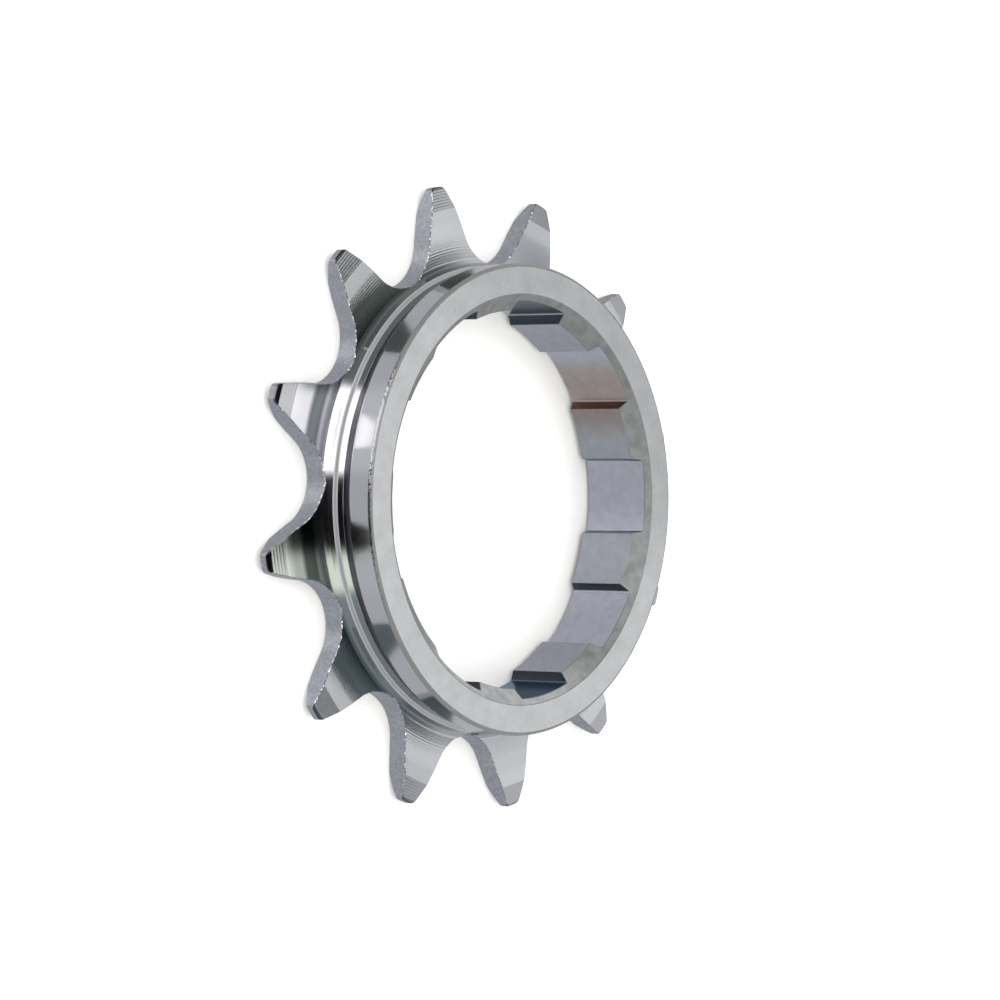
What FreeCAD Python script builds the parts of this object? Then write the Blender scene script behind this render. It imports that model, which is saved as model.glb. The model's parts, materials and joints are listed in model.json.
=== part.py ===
import FreeCAD, Part
import math
import os

# Single speed cog for a half inch pitch chain, turned and milled from one blank, millimetres.
# The axis is Z. The flat back of the teeth lies on z = 0 and the boss stands up from it.
# Azimuth 0 runs through the wide lug of the spline and the tooth outside it.

# Chain and tooth form
chain_pitch = 12.7
roller_diameter = 7.75
tooth_count = 12
root_relief = 0.06
seat_radius = 4.03
seating_half_angle = 59.5
flank_radius = 35.0
tip_diameter = 55.0
tip_corner_radius = 0.5

# Section of the toothed plate
tooth_thickness = 1.82
tip_chamfer_depth = 1.95
back_tip_drop = 0.65
front_tip_drop = 0.33
tip_facet_depth = 0.25
tip_facet_drop = 0.14
face_sweep_start_diameter = 46.4
face_sweep_radius = 40.0
boss_fillet_radius = 0.6

# Section of the boss
overall_width = 7.05
boss_diameter = 40.9
land_diameter = 40.6
land_rise = 0.98
land_wall_draft = 15.0
ledge_width = 0.3
ledge_rise = 0.1
groove_depth = 0.28
groove_low_rise = 0.48
groove_high_rise = 1.37
boss_edge_radius = 0.3

# Bore
lug_count = 9
crest_diameter = 32.8
spline_groove_diameter = 34.55
lug_half_angle = 8.3
lug_draft = 30.0
lug_root_radius = 0.2
key_lug_extra_angle = 9.0
front_mouth_diameter = 35.64
front_cone_slope = 0.74
back_mouth_diameter = 36.1
back_cone_slope = 0.285
broach_stock = 0.5

# The cutting tools reach this far past the faces they leave
tool_overrun = 1.0

tooth_step = 360.0 / tooth_count
lug_step = 360.0 / lug_count
pitch_radius = chain_pitch / (2.0 * math.sin(math.radians(tooth_step / 2.0)))
root_radius = pitch_radius - roller_diameter / 2.0 - root_relief
tip_radius = tip_diameter / 2.0
boss_radius = boss_diameter / 2.0
land_radius = land_diameter / 2.0
crest_radius = crest_diameter / 2.0
spline_groove_radius = spline_groove_diameter / 2.0
front_mouth_radius = front_mouth_diameter / 2.0
back_mouth_radius = back_mouth_diameter / 2.0


def polar(radius, degrees, z=0.0):
    angle = math.radians(degrees)
    return FreeCAD.Vector(radius * math.cos(angle), radius * math.sin(angle), z)


def turned(point, degrees):
    return FreeCAD.Rotation(FreeCAD.Vector(0, 0, 1), degrees).multVec(point)


def mirrored(point):
    return FreeCAD.Vector(point.x, -point.y, point.z)


def arc_about(centre, start, end):
    """The shorter arc from start to end round centre."""
    radius = (start - centre).Length
    middle = (start - centre).normalize() + (end - centre).normalize()
    return Part.Arc(start, centre + middle.normalize() * radius, end).toShape()


def line(start, end):
    return Part.LineSegment(start, end).toShape()


def circles_meet(centre_a, radius_a, centre_b, radius_b):
    """The two points, in the plane z = 0, at the given distances from two centres."""
    gap = centre_b - centre_a
    along = (gap.Length ** 2 + radius_a ** 2 - radius_b ** 2) / (2.0 * gap.Length)
    across = math.sqrt(radius_a ** 2 - along ** 2)
    unit = FreeCAD.Vector(gap).normalize()
    side = FreeCAD.Vector(-unit.y, unit.x, 0)
    foot = centre_a + unit * along
    return foot + side * across, foot - side * across


def gap_outline():
    """The form of one gap between teeth: a seat arc and two flank arcs, open past the tips."""
    axis = FreeCAD.Vector(0, 0, 0)
    half_angle = math.radians(seating_half_angle)
    seat_centre = FreeCAD.Vector(root_radius + seat_radius, 0, 0)
    outward = FreeCAD.Vector(-math.cos(half_angle), math.sin(half_angle), 0)
    seat_end = seat_centre + outward * seat_radius
    flank_centre = seat_end + outward * flank_radius
    ends = circles_meet(flank_centre, flank_radius, axis, tip_radius + tool_overrun)
    flank_end = max(ends, key=lambda point: point.x)
    edges = [
        arc_about(seat_centre, mirrored(seat_end), seat_end),
        arc_about(flank_centre, seat_end, flank_end),
        arc_about(axis, flank_end, mirrored(flank_end)),
        arc_about(mirrored(flank_centre), mirrored(flank_end), mirrored(seat_end)),
    ]
    return Part.Face(Part.Wire(edges))


def toothed_prism():
    """The disc of the tip circle with the gaps cut from it and the corners of the tips rounded."""
    rim = Part.makeCircle(tip_radius)
    # The seam of the circle is turned into a gap, so that no tooth carries it.
    rim.rotate(FreeCAD.Vector(0, 0, 0), FreeCAD.Vector(0, 0, 1), tooth_step / 2.0)
    gap = gap_outline()
    gaps = []
    for index in range(tooth_count):
        copy = gap.copy()
        copy.rotate(FreeCAD.Vector(0, 0, 0), FreeCAD.Vector(0, 0, 1), (index + 0.5) * tooth_step)
        gaps.append(copy)
    pieces = Part.Face(Part.Wire([rim])).cut(gaps).Faces
    outline = max(pieces, key=lambda face: face.Area)
    # Shrunk and grown again by the corner radius, the outline keeps its form but for sharp corners.
    shrunk = outline.makeOffset2D(-tip_corner_radius)
    rounded = shrunk.makeOffset2D(tip_corner_radius)
    return rounded.extrude(FreeCAD.Vector(0, 0, overall_width))


def turned_blank():
    """The section turned on the lathe, from the back face round the tips and the boss to the bore."""

    def at(radius, z):
        return FreeCAD.Vector(radius, 0, z)

    blank_bore = crest_radius - broach_stock
    chamfer_radius = tip_radius - tip_chamfer_depth
    sweep_start = at(face_sweep_start_diameter / 2.0, tooth_thickness)
    sweep_centre = sweep_start + at(0, face_sweep_radius)

    # The drafted wall of the land stands on a fillet that is tangent to it and to the swept face.
    draft = math.radians(land_wall_draft)
    wall_up = at(-math.sin(draft), math.cos(draft))
    wall_out = at(math.cos(draft), math.sin(draft))
    land_edge = at(land_radius, tooth_thickness + land_rise)
    offset = land_edge + wall_out * boss_fillet_radius - sweep_centre
    reach = face_sweep_radius - boss_fillet_radius
    dot = offset.dot(wall_up)
    step = -dot - math.sqrt(dot ** 2 - offset.dot(offset) + reach ** 2)
    fillet_centre = sweep_centre + offset + wall_up * step
    fillet_start = sweep_centre + (fillet_centre - sweep_centre).normalize() * face_sweep_radius
    fillet_end = fillet_centre - wall_out * boss_fillet_radius

    # A narrow ledge lies between the land and the groove, which is deepest near its lower side.
    ledge_end = land_edge + at(-ledge_width, ledge_rise)
    groove_bottom = ledge_end + at(-groove_depth, groove_low_rise)
    groove_end = at(boss_radius, groove_bottom.z + groove_high_rise)

    edge_centre = at(boss_radius - boss_edge_radius, overall_width - boss_edge_radius)
    edge_start = at(boss_radius, edge_centre.z)
    edge_end = at(edge_centre.x, overall_width)
    bore_bottom = at(blank_bore, (back_mouth_radius - blank_bore) * back_cone_slope)
    bore_top = at(blank_bore, overall_width - (front_mouth_radius - blank_bore) * front_cone_slope)
    mouth_bottom = at(back_mouth_radius, 0)
    mouth_top = at(front_mouth_radius, overall_width)
    back_edge = at(chamfer_radius, 0)
    back_tip = at(tip_radius, back_tip_drop)
    facet_start = at(tip_radius, tooth_thickness - front_tip_drop - tip_facet_drop)
    facet_end = at(tip_radius - tip_facet_depth, tooth_thickness - front_tip_drop)
    face_edge = at(chamfer_radius, tooth_thickness)

    section = [
        line(mouth_bottom, back_edge),
        line(back_edge, back_tip),
        line(back_tip, facet_start),
        line(facet_start, facet_end),
        line(facet_end, face_edge),
        line(face_edge, sweep_start),
        arc_about(sweep_centre, sweep_start, fillet_start),
        arc_about(fillet_centre, fillet_start, fillet_end),
        line(fillet_end, land_edge),
        line(land_edge, ledge_end),
        line(ledge_end, groove_bottom),
        line(groove_bottom, groove_end),
        line(groove_end, edge_start),
        arc_about(edge_centre, edge_start, edge_end),
        line(edge_end, mouth_top),
        line(mouth_top, bore_top),
        line(bore_top, bore_bottom),
        line(bore_bottom, mouth_bottom),
    ]
    face = Part.Face(Part.Wire(section))
    return face.revolve(FreeCAD.Vector(0, 0, 0), FreeCAD.Vector(0, 0, 1), 360.0)


def broach():
    """The spline broach: nine lugs stand between its teeth, and the first lug is wider on one side."""
    draft = math.radians(lug_draft)
    crest_corner = polar(crest_radius, lug_half_angle)
    along_flank = FreeCAD.Vector(math.cos(draft), math.sin(draft), 0)
    into_groove = FreeCAD.Vector(-along_flank.y, along_flank.x, 0)

    # The root fillet touches the flank line and the groove circle from inside the groove.
    offset = crest_corner + into_groove * lug_root_radius
    reach = spline_groove_radius - lug_root_radius
    dot = offset.dot(along_flank)
    step = -dot + math.sqrt(dot ** 2 - offset.dot(offset) + reach ** 2)
    root_centre = offset + along_flank * step
    flank_end = root_centre - into_groove * lug_root_radius
    groove_start = FreeCAD.Vector(root_centre).normalize() * spline_groove_radius
    axis = FreeCAD.Vector(0, 0, 0)

    edges = []
    for index in range(lug_count):
        extra = key_lug_extra_angle if index == 0 else 0.0
        extra_next = key_lug_extra_angle if index == lug_count - 1 else 0.0
        low = index * lug_step - extra
        high = index * lug_step
        next_low = (index + 1) * lug_step - extra_next
        crest_middle = polar(crest_radius, (low + high) / 2.0)
        crest_start = turned(mirrored(crest_corner), low)
        crest_end = turned(crest_corner, high)
        next_groove_end = turned(mirrored(groove_start), next_low)
        next_flank_end = turned(mirrored(flank_end), next_low)
        next_crest = turned(mirrored(crest_corner), next_low)
        edges.append(Part.Arc(crest_start, crest_middle, crest_end).toShape())
        edges.append(line(crest_end, turned(flank_end, high)))
        edges.append(arc_about(turned(root_centre, high), turned(flank_end, high),
                               turned(groove_start, high)))
        edges.append(arc_about(axis, turned(groove_start, high), next_groove_end))
        edges.append(arc_about(turned(mirrored(root_centre), next_low), next_groove_end,
                               next_flank_end))
        edges.append(line(next_flank_end, next_crest))
    face = Part.Face(Part.Wire(edges))
    face.translate(FreeCAD.Vector(0, 0, -tool_overrun))
    return face.extrude(FreeCAD.Vector(0, 0, overall_width + 2.0 * tool_overrun))


cog = turned_blank().common(toothed_prism()).cut(broach())

os.makedirs("parts", exist_ok=True)
cog.exportStep("parts/cog.step")
print("cog", "valid" if cog.isValid() else "not valid", len(cog.Solids), "solid,",
      round(cog.Volume, 1), "mm3,", len(cog.Faces), "faces,", cog.BoundBox)
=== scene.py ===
import bpy
import json
import math
from collections import namedtuple
import numpy as np
from mathutils import Matrix

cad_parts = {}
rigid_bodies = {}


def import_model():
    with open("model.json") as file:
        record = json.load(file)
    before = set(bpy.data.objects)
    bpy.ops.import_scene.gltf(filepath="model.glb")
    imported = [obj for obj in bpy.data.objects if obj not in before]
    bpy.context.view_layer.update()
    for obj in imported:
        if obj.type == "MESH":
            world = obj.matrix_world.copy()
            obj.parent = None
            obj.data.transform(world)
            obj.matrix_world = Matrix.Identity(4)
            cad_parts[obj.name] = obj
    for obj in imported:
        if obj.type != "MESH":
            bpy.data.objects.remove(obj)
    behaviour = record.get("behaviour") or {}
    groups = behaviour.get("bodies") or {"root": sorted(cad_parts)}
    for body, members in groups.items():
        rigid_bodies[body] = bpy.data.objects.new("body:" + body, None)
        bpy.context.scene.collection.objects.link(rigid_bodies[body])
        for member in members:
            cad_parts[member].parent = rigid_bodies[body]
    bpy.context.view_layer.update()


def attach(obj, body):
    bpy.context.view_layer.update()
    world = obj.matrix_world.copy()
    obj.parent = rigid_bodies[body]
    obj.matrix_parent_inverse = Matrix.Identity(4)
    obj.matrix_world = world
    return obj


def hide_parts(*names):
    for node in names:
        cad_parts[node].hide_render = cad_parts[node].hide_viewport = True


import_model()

# Lengths are in millimetres, and are turned to metres where a point or a camera is made.
MM = 0.001
FULL_TURN = 2.0 * math.pi

# Tooth form, the same values as the solid
CHAIN_PITCH = 12.7
ROLLER_DIAMETER = 7.75
TEETH = 12
ROOT_RELIEF = 0.06
SEAT_RADIUS = 4.03
SEATING_HALF_ANGLE = math.radians(59.5)
FLANK_RADIUS = 35.0
TIP_RADIUS = 27.5
TIP_CORNER_RADIUS = 0.5

# Section of the toothed plate
THICKNESS = 1.82
CHAMFER_DEPTH = 1.95
BACK_TIP_DROP = 0.65
FRONT_TIP_DROP = 0.33
FACET_DEPTH = 0.25
FACET_DROP = 0.14
SWEEP_START = 23.2
SWEEP_RADIUS = 40.0
FILLET_RADIUS = 0.6

# Section of the boss
WIDTH = 7.05
BOSS_RADIUS = 20.45
LAND_RADIUS = 20.3
LAND_RISE = 0.98
LAND_DRAFT = math.radians(15.0)
LEDGE_WIDTH = 0.3
LEDGE_RISE = 0.1
GROOVE_DEPTH = 0.28
GROOVE_LOW_RISE = 0.48
GROOVE_HIGH_RISE = 1.37
BOSS_EDGE = 0.3

# Bore
LUGS = 9
CREST_RADIUS = 16.4
SPLINE_RADIUS = 17.275
LUG_HALF_ANGLE = math.radians(8.3)
LUG_DRAFT = math.radians(30.0)
LUG_ROOT_RADIUS = 0.2
KEY_EXTRA = math.radians(9.0)
FRONT_MOUTH = 17.82
FRONT_SLOPE = 0.74
BACK_MOUTH = 18.05
BACK_SLOPE = 0.285

# Broken edges of the real part
TOOTH_EDGE = 0.07
TURNED_EDGE = 0.08
BORE_EDGE = 0.05

# Worked out from the sizes above
STEP = FULL_TURN / TEETH
LUG_PITCH = FULL_TURN / LUGS
ROOT_RADIUS = CHAIN_PITCH / (2.0 * math.sin(STEP / 2.0)) - ROLLER_DIAMETER / 2.0 - ROOT_RELIEF
CHAMFER_RADIUS = TIP_RADIUS - CHAMFER_DEPTH
FACET_RADIUS = TIP_RADIUS - FACET_DEPTH
SWEEP_TOP = THICKNESS + SWEEP_RADIUS
LAND_EDGE = (LAND_RADIUS, THICKNESS + LAND_RISE)
LEDGE_END = (LAND_RADIUS - LEDGE_WIDTH, LAND_EDGE[1] + LEDGE_RISE)
GROOVE_BOTTOM = (LEDGE_END[0] - GROOVE_DEPTH, LEDGE_END[1] + GROOVE_LOW_RISE)
GROOVE_TOP = (BOSS_RADIUS, GROOVE_BOTTOM[1] + GROOVE_HIGH_RISE)
BOSS_TOP = (BOSS_RADIUS, WIDTH)

# The mesh of the boss ends on the fillet, this far inside the roots of the teeth.
FOOT_INSET = 0.11
BOSS_FOOT = ROOT_RADIUS - FOOT_INSET

# Steps of the mesh along each kind of curve
TURNED_COLUMNS = 360
SEAT_STEPS = 11
FLANK_STEPS = 15
CORNER_STEPS = 5
TIP_STEPS = 7
WALL_ROWS = 6
BOSS_EDGE_STEPS = 7
FILLET_STEPS = 6
CREST_STEPS = 8
KEY_CREST_STEPS = 14
GROOVE_STEP = math.radians(3.34)
FEWEST_GROOVE_STEPS = 3
LUG_SIDE_MIDDLE = 0.5
LUG_ROOT_SHARES = (0.33, 0.67, 1.0)
HALVINGS = 40
SLOPE_PROBE = 1e-4

# The material slots of the mesh, in the order of the list that materials() gives
ANNULUS, BOSS, FACE, CHAMFER, FLANK, BORE, CONE, EDGE, BACK, LEDGE, SHADE, BURR, TIP = range(13)

# A closed ring of points: their numbers in the mesh, their angles about the axis and their normals
Ring = namedtuple("Ring", "ids angles normals")

# A column of the toothed plate: the angle of its gap, its sample of the half gap, whether it is on
# the mirrored half, and its own angle about the axis
Column = namedtuple("Column", "base sample mirrored angle")


def unit(x, y):
    length = math.hypot(x, y)
    return x / length, y / length


def fillet_centre():
    """The centre of the fillet, which touches the wall of the land and the swept face."""
    up = (-math.sin(LAND_DRAFT), math.cos(LAND_DRAFT))
    x = LAND_EDGE[0] + FILLET_RADIUS * up[1] - SWEEP_START
    z = LAND_EDGE[1] - FILLET_RADIUS * up[0] - SWEEP_TOP
    along = x * up[0] + z * up[1]
    step = -along - math.sqrt(along ** 2 - x ** 2 - z ** 2 + (SWEEP_RADIUS - FILLET_RADIUS) ** 2)
    return SWEEP_START + x + step * up[0], SWEEP_TOP + z + step * up[1]


FILLET_X, FILLET_Z = fillet_centre()
FILLET_START = SWEEP_START - (SWEEP_START - FILLET_X) * SWEEP_RADIUS / (SWEEP_RADIUS - FILLET_RADIUS)


def gap_centres():
    """The centres of the flank arc and of the rounded tip corner of half a tooth gap."""
    reach = SEAT_RADIUS + FLANK_RADIUS
    flank = (ROOT_RADIUS + SEAT_RADIUS - reach * math.cos(SEATING_HALF_ANGLE),
             reach * math.sin(SEATING_HALF_ANGLE))
    far, near = TIP_RADIUS - TIP_CORNER_RADIUS, FLANK_RADIUS - TIP_CORNER_RADIUS
    apart = math.hypot(*flank)
    along = (apart ** 2 + near ** 2 - far ** 2) / (2.0 * apart)
    across = math.sqrt(near ** 2 - along ** 2)
    ux, uy = -flank[0] / apart, -flank[1] / apart
    corners = [(flank[0] + ux * along - uy * across * side, flank[1] + uy * along + ux * across * side)
               for side in (1, -1)]
    return flank, max(corners)


FLANK_CENTRE, CORNER_CENTRE = gap_centres()
FLANK_END = math.atan2(CORNER_CENTRE[1] - FLANK_CENTRE[1], CORNER_CENTRE[0] - FLANK_CENTRE[0])
CORNER_END = math.atan2(CORNER_CENTRE[1], CORNER_CENTRE[0])

# The convex arcs of half a tooth gap: centre, radius, first and last angle
CONVEX_ARCS = {
    "flank": (FLANK_CENTRE, FLANK_RADIUS, -SEATING_HALF_ANGLE, FLANK_END),
    "corner": (CORNER_CENTRE, TIP_CORNER_RADIUS, FLANK_END, CORNER_END),
    "tip": ((0.0, 0.0), TIP_RADIUS, CORNER_END, STEP / 2.0),
}


def gap_point(kind, share, inset):
    """A point of half a tooth gap, moved into the steel by an inset, and the normal there."""
    if kind == "seat":
        angle = share * SEATING_HALF_ANGLE
        normal = (math.cos(angle), -math.sin(angle))
        reach = SEAT_RADIUS + inset
        return (ROOT_RADIUS + SEAT_RADIUS - reach * normal[0], -reach * normal[1]), normal
    centre, radius, first, last = CONVEX_ARCS[kind]
    angle = first + share * (last - first)
    normal = (math.cos(angle), math.sin(angle))
    reach = radius - inset
    return (centre[0] + reach * normal[0], centre[1] + reach * normal[1]), normal


def gap_outline(samples, inset):
    """Half of a tooth gap, from its bottom to the middle of the tip: points and normals."""
    pairs = [gap_point(kind, share, inset) for kind, share in samples]
    return [point for point, _ in pairs], [normal for _, normal in pairs]


def share_at(kind, target):
    """The share of one curve of the outline where it is a target distance from the axis, or None."""

    def distance(share):
        return math.hypot(*gap_point(kind, share, TOOTH_EDGE)[0])

    low, high = 0.0, 1.0
    if not distance(low) < target < distance(high):
        return None
    for _ in range(HALVINGS):
        middle = (low + high) / 2.0
        low, high = (middle, high) if distance(middle) < target else (low, middle)
    return low


def put_sample(shares, share, end_is_kept):
    """Moves the nearest sample to a share, or adds one where the nearest is an end that is kept."""
    nearest = min(range(len(shares)), key=lambda k: abs(shares[k] - share))
    if 0 < nearest < len(shares) - (1 if end_is_kept else 0):
        shares[nearest] = share
    else:
        shares.append(share)
        shares.sort()


def outline_samples():
    """Samples of the outline up to the tip, with one on each circle where the section bends."""
    shares = {
        "seat": [k / SEAT_STEPS for k in range(SEAT_STEPS)],
        "flank": [k / FLANK_STEPS for k in range(FLANK_STEPS)],
        "corner": [k / CORNER_STEPS for k in range(CORNER_STEPS + 1)],
    }
    for target in (SWEEP_START, CHAMFER_RADIUS, FACET_RADIUS, FILLET_START):
        for kind, group in shares.items():
            share = share_at(kind, target)
            if share is not None:
                put_sample(group, share, kind != "flank")
    return [(kind, share) for kind, group in shares.items() for share in group]


def front_height(r):
    """The height of the front of the toothed plate at a distance from the axis."""
    if r > FACET_RADIUS:
        return THICKNESS - FRONT_TIP_DROP - FACET_DROP * (r - FACET_RADIUS) / (TIP_RADIUS - FACET_RADIUS)
    if r > CHAMFER_RADIUS:
        return THICKNESS - FRONT_TIP_DROP * (r - CHAMFER_RADIUS) / (FACET_RADIUS - CHAMFER_RADIUS)
    if r > SWEEP_START:
        return THICKNESS
    if r > FILLET_START:
        return SWEEP_TOP - math.sqrt(SWEEP_RADIUS ** 2 - (SWEEP_START - r) ** 2)
    return FILLET_Z - math.sqrt(max(0.0, FILLET_RADIUS ** 2 - (FILLET_X - r) ** 2))


def back_height(r):
    """The height of the back of the toothed plate at a distance from the axis."""
    if r > CHAMFER_RADIUS:
        return BACK_TIP_DROP * (r - CHAMFER_RADIUS) / (TIP_RADIUS - CHAMFER_RADIUS)
    return 0.0


def slope_normal(height, r, side, up):
    """Normal (radial, axial) of a turned face at radius r, taken just inside or outside it."""
    low, high = (r, r + SLOPE_PROBE) if side > 0 else (r - SLOPE_PROBE, r)
    slope = (height(high) - height(low)) / SLOPE_PROBE
    return unit(-slope * up, up)


def front_slot(r):
    """The material slot of the front of the toothed plate at a distance from the axis."""
    if r > FACET_RADIUS:
        return TIP
    if r > CHAMFER_RADIUS:
        return CHAMFER
    return FACE if r > FILLET_START else BOSS


def rotated(vector, angle):
    """A vector of the plane, turned by an angle."""
    cosine, sine = math.cos(angle), math.sin(angle)
    return vector[0] * cosine - vector[1] * sine, vector[0] * sine + vector[1] * cosine


def about_axis(normal, angle):
    """A normal given as (radial, axial), at an angle about the axis."""
    return normal[0] * math.cos(angle), normal[0] * math.sin(angle), normal[1]


def around(angles, normal):
    """The same normal (radial, axial) at each of the angles."""
    return [about_axis(normal, angle) for angle in angles]


def by_angle(angles):
    """The order of a ring by angle, and its angles in that order, with the first again a turn on."""
    order = sorted(range(len(angles)), key=lambda k: angles[k] % FULL_TURN)
    rising = [angles[k] % FULL_TURN for k in order]
    return order, rising + [rising[0] + FULL_TURN]


class Builder:
    """Vertices, and faces with a normal for each corner."""

    def __init__(self):
        self.points, self.faces, self.normals, self.slots = [], [], [], []

    def point(self, x, y, z):
        self.points.append((x * MM, y * MM, z * MM))
        return len(self.points) - 1

    def face(self, corners, slot):
        """A face from pairs of a point and its normal."""
        self.faces.append([point for point, _ in corners])
        self.normals.extend(normal for _, normal in corners)
        self.slots.append(slot)

    def ring(self, angles, r, z, normal):
        ids = [self.point(r * math.cos(a), r * math.sin(a), z) for a in angles]
        return Ring(ids, angles, around(angles, normal))

    def strip(self, ring, other, slot):
        """Faces of four corners between two rings of one count."""
        count = len(ring.ids)
        for c in range(count):
            d = (c + 1) % count
            self.face([(ring.ids[c], ring.normals[c]), (other.ids[c], other.normals[c]),
                       (other.ids[d], other.normals[d]), (ring.ids[d], ring.normals[d])], slot)

    def zipper(self, ring, other, slot):
        """Triangles between two rings of different counts, each step on the ring that lags behind."""
        order, rising = by_angle(ring.angles)
        other_order, other_rising = by_angle(other.angles)
        count, other_count = len(order), len(other_order)
        i = j = 0
        while i < count or j < other_count:
            p, q = order[i % count], other_order[j % other_count]
            corners = [(ring.ids[p], ring.normals[p]), (other.ids[q], other.normals[q])]
            if j >= other_count or (i < count and rising[i + 1] <= other_rising[j + 1]):
                i += 1
                p = order[i % count]
                corners.append((ring.ids[p], ring.normals[p]))
            else:
                j += 1
                q = other_order[j % other_count]
                corners.append((other.ids[q], other.normals[q]))
            self.face(corners, slot)

    def piece(self, name, materials):
        mesh = bpy.data.meshes.new(name)
        mesh.from_pydata(self.points, [], self.faces)
        for material in materials:
            mesh.materials.append(material)
        mesh.polygons.foreach_set("material_index", self.slots)
        mesh.polygons.foreach_set("use_smooth", [True] * len(self.faces))
        mesh.update()
        mesh.normals_split_custom_set(self.normals)
        obj = bpy.data.objects.new(name, mesh)
        bpy.context.scene.collection.objects.link(obj)
        return obj


def half_lug():
    """One side of a lug, from its broken crest edge to the groove: radius, angle and normal."""
    side = (math.cos(LUG_DRAFT), math.sin(LUG_DRAFT))
    into = (-side[1], side[0])
    crest = (CREST_RADIUS * math.cos(LUG_HALF_ANGLE), CREST_RADIUS * math.sin(LUG_HALF_ANGLE))
    off = (crest[0] + into[0] * LUG_ROOT_RADIUS, crest[1] + into[1] * LUG_ROOT_RADIUS)
    dot = off[0] * side[0] + off[1] * side[1]
    reach = SPLINE_RADIUS - LUG_ROOT_RADIUS
    step = -dot + math.sqrt(dot ** 2 - off[0] ** 2 - off[1] ** 2 + reach ** 2)
    centre = (off[0] + side[0] * step, off[1] + side[1] * step)
    run = (centre[0] - into[0] * LUG_ROOT_RADIUS - crest[0], centre[1] - into[1] * LUG_ROOT_RADIUS - crest[1])

    edge_angle = LUG_HALF_ANGLE - BORE_EDGE / CREST_RADIUS
    half = [(CREST_RADIUS, edge_angle, (-math.cos(edge_angle), -math.sin(edge_angle)))]
    for share in (BORE_EDGE / math.hypot(*run), LUG_SIDE_MIDDLE, 1.0):
        x, y = crest[0] + share * run[0], crest[1] + share * run[1]
        half.append((math.hypot(x, y), math.atan2(y, x), into))
    low, high = math.atan2(-into[1], -into[0]), math.atan2(centre[1], centre[0])
    for share in LUG_ROOT_SHARES:
        a = low + share * (high - low)
        x, y = centre[0] + LUG_ROOT_RADIUS * math.cos(a), centre[1] + LUG_ROOT_RADIUS * math.sin(a)
        half.append((math.hypot(x, y), math.atan2(y, x), (-math.cos(a), -math.sin(a))))
    return half


def bore_arc(radius, first, last, count):
    """Points of a crest or groove between its ends, with normals toward the axis."""
    angles = [first + (last - first) * k / count for k in range(1, count)]
    return [(radius, a, (-math.cos(a), -math.sin(a))) for a in angles]


def bore_outline():
    """The spline all round: radius, angle and the normal into the bore."""
    half = half_lug()
    edge_angle, groove_angle = half[0][1], half[-1][1]
    points = []
    for lug in range(LUGS):
        high = lug * LUG_PITCH
        low = high - (KEY_EXTRA if lug == 0 else 0.0)
        next_low = high + LUG_PITCH - (KEY_EXTRA if lug == LUGS - 1 else 0.0)
        points += bore_arc(CREST_RADIUS, low - edge_angle, high + edge_angle,
                           CREST_STEPS if lug else KEY_CREST_STEPS)
        points += [(r, high + a, rotated(normal, high)) for r, a, normal in half]
        first, last = high + groove_angle, next_low - groove_angle
        points += bore_arc(SPLINE_RADIUS, first, last,
                           max(FEWEST_GROOVE_STEPS, round((last - first) / GROOVE_STEP)))
        points += [(r, next_low - a, rotated((normal[0], -normal[1]), next_low))
                   for r, a, normal in reversed(half)]
    return points


def front_cone(r):
    """The height of the cone at the front mouth, at a distance from the axis."""
    return WIDTH - (FRONT_MOUTH - r) * FRONT_SLOPE


def back_cone(r):
    """The height of the cone at the back mouth, at a distance from the axis."""
    return (BACK_MOUTH - r) * BACK_SLOPE


def wall_ring(builder, outline, height, lift):
    """A ring of the bore wall, lifted off the cone that ends the wall."""
    ids = [builder.point(r * math.cos(a), r * math.sin(a), height(r) + lift) for r, a, _ in outline]
    return Ring(ids, [a for _, a, _ in outline], [(nx, ny, 0.0) for _, _, (nx, ny) in outline])


def cone_ring(builder, outline, height, normal):
    """The inner ring of a cone, set back from the bore wall by the width of its broken edge."""
    ids, angles = [], []
    for r, a, (nx, ny) in outline:
        x, y = r * math.cos(a) - BORE_EDGE * nx, r * math.sin(a) - BORE_EDGE * ny
        ids.append(builder.point(x, y, height(math.hypot(x, y))))
        angles.append(math.atan2(y, x))
    return Ring(ids, angles, around(angles, normal))


def bore_rings(builder):
    """The bore with its cones, from the rim of the front ring to the rim of the back."""
    outline = bore_outline()
    angles = [a for _, a, _ in outline]
    front_normal, back_normal = unit(-FRONT_SLOPE, 1.0), unit(-BACK_SLOPE, -1.0)
    half_edge = TURNED_EDGE / 2.0
    wall_low = wall_ring(builder, outline, back_cone, BORE_EDGE)
    wall_high = wall_ring(builder, outline, front_cone, -BORE_EDGE)
    front_inner = cone_ring(builder, outline, front_cone, front_normal)
    back_inner = cone_ring(builder, outline, back_cone, back_normal)
    mouth = builder.ring(angles, FRONT_MOUTH - half_edge, WIDTH - half_edge * FRONT_SLOPE, front_normal)
    rim = builder.ring(angles, FRONT_MOUTH + half_edge, WIDTH, (0.0, 1.0))
    back_rim = builder.ring(angles, BACK_MOUTH + half_edge, 0.0, (0.0, -1.0))
    back_mouth = builder.ring(angles, BACK_MOUTH - half_edge, half_edge * BACK_SLOPE, back_normal)
    builder.strip(wall_low, wall_high, BORE)
    builder.strip(wall_high, front_inner, EDGE)
    builder.strip(front_inner, mouth, CONE)
    builder.strip(mouth, rim, EDGE)
    builder.strip(back_rim, back_mouth, EDGE)
    builder.strip(back_mouth, back_inner, CONE)
    builder.strip(back_inner, wall_low, EDGE)
    return rim, back_rim


def arc_rows(centre, radius, first, last, count, sign, slot):
    """Rows along an arc of the section, convex when the sign is 1 and hollow when it is -1."""
    rows = []
    for k in range(count + 1):
        a = first + (last - first) * k / count
        place = (centre[0] + radius * math.cos(a), centre[1] + radius * math.sin(a))
        rows.append((place, (sign * math.cos(a), sign * math.sin(a)), slot))
    return rows


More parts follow.
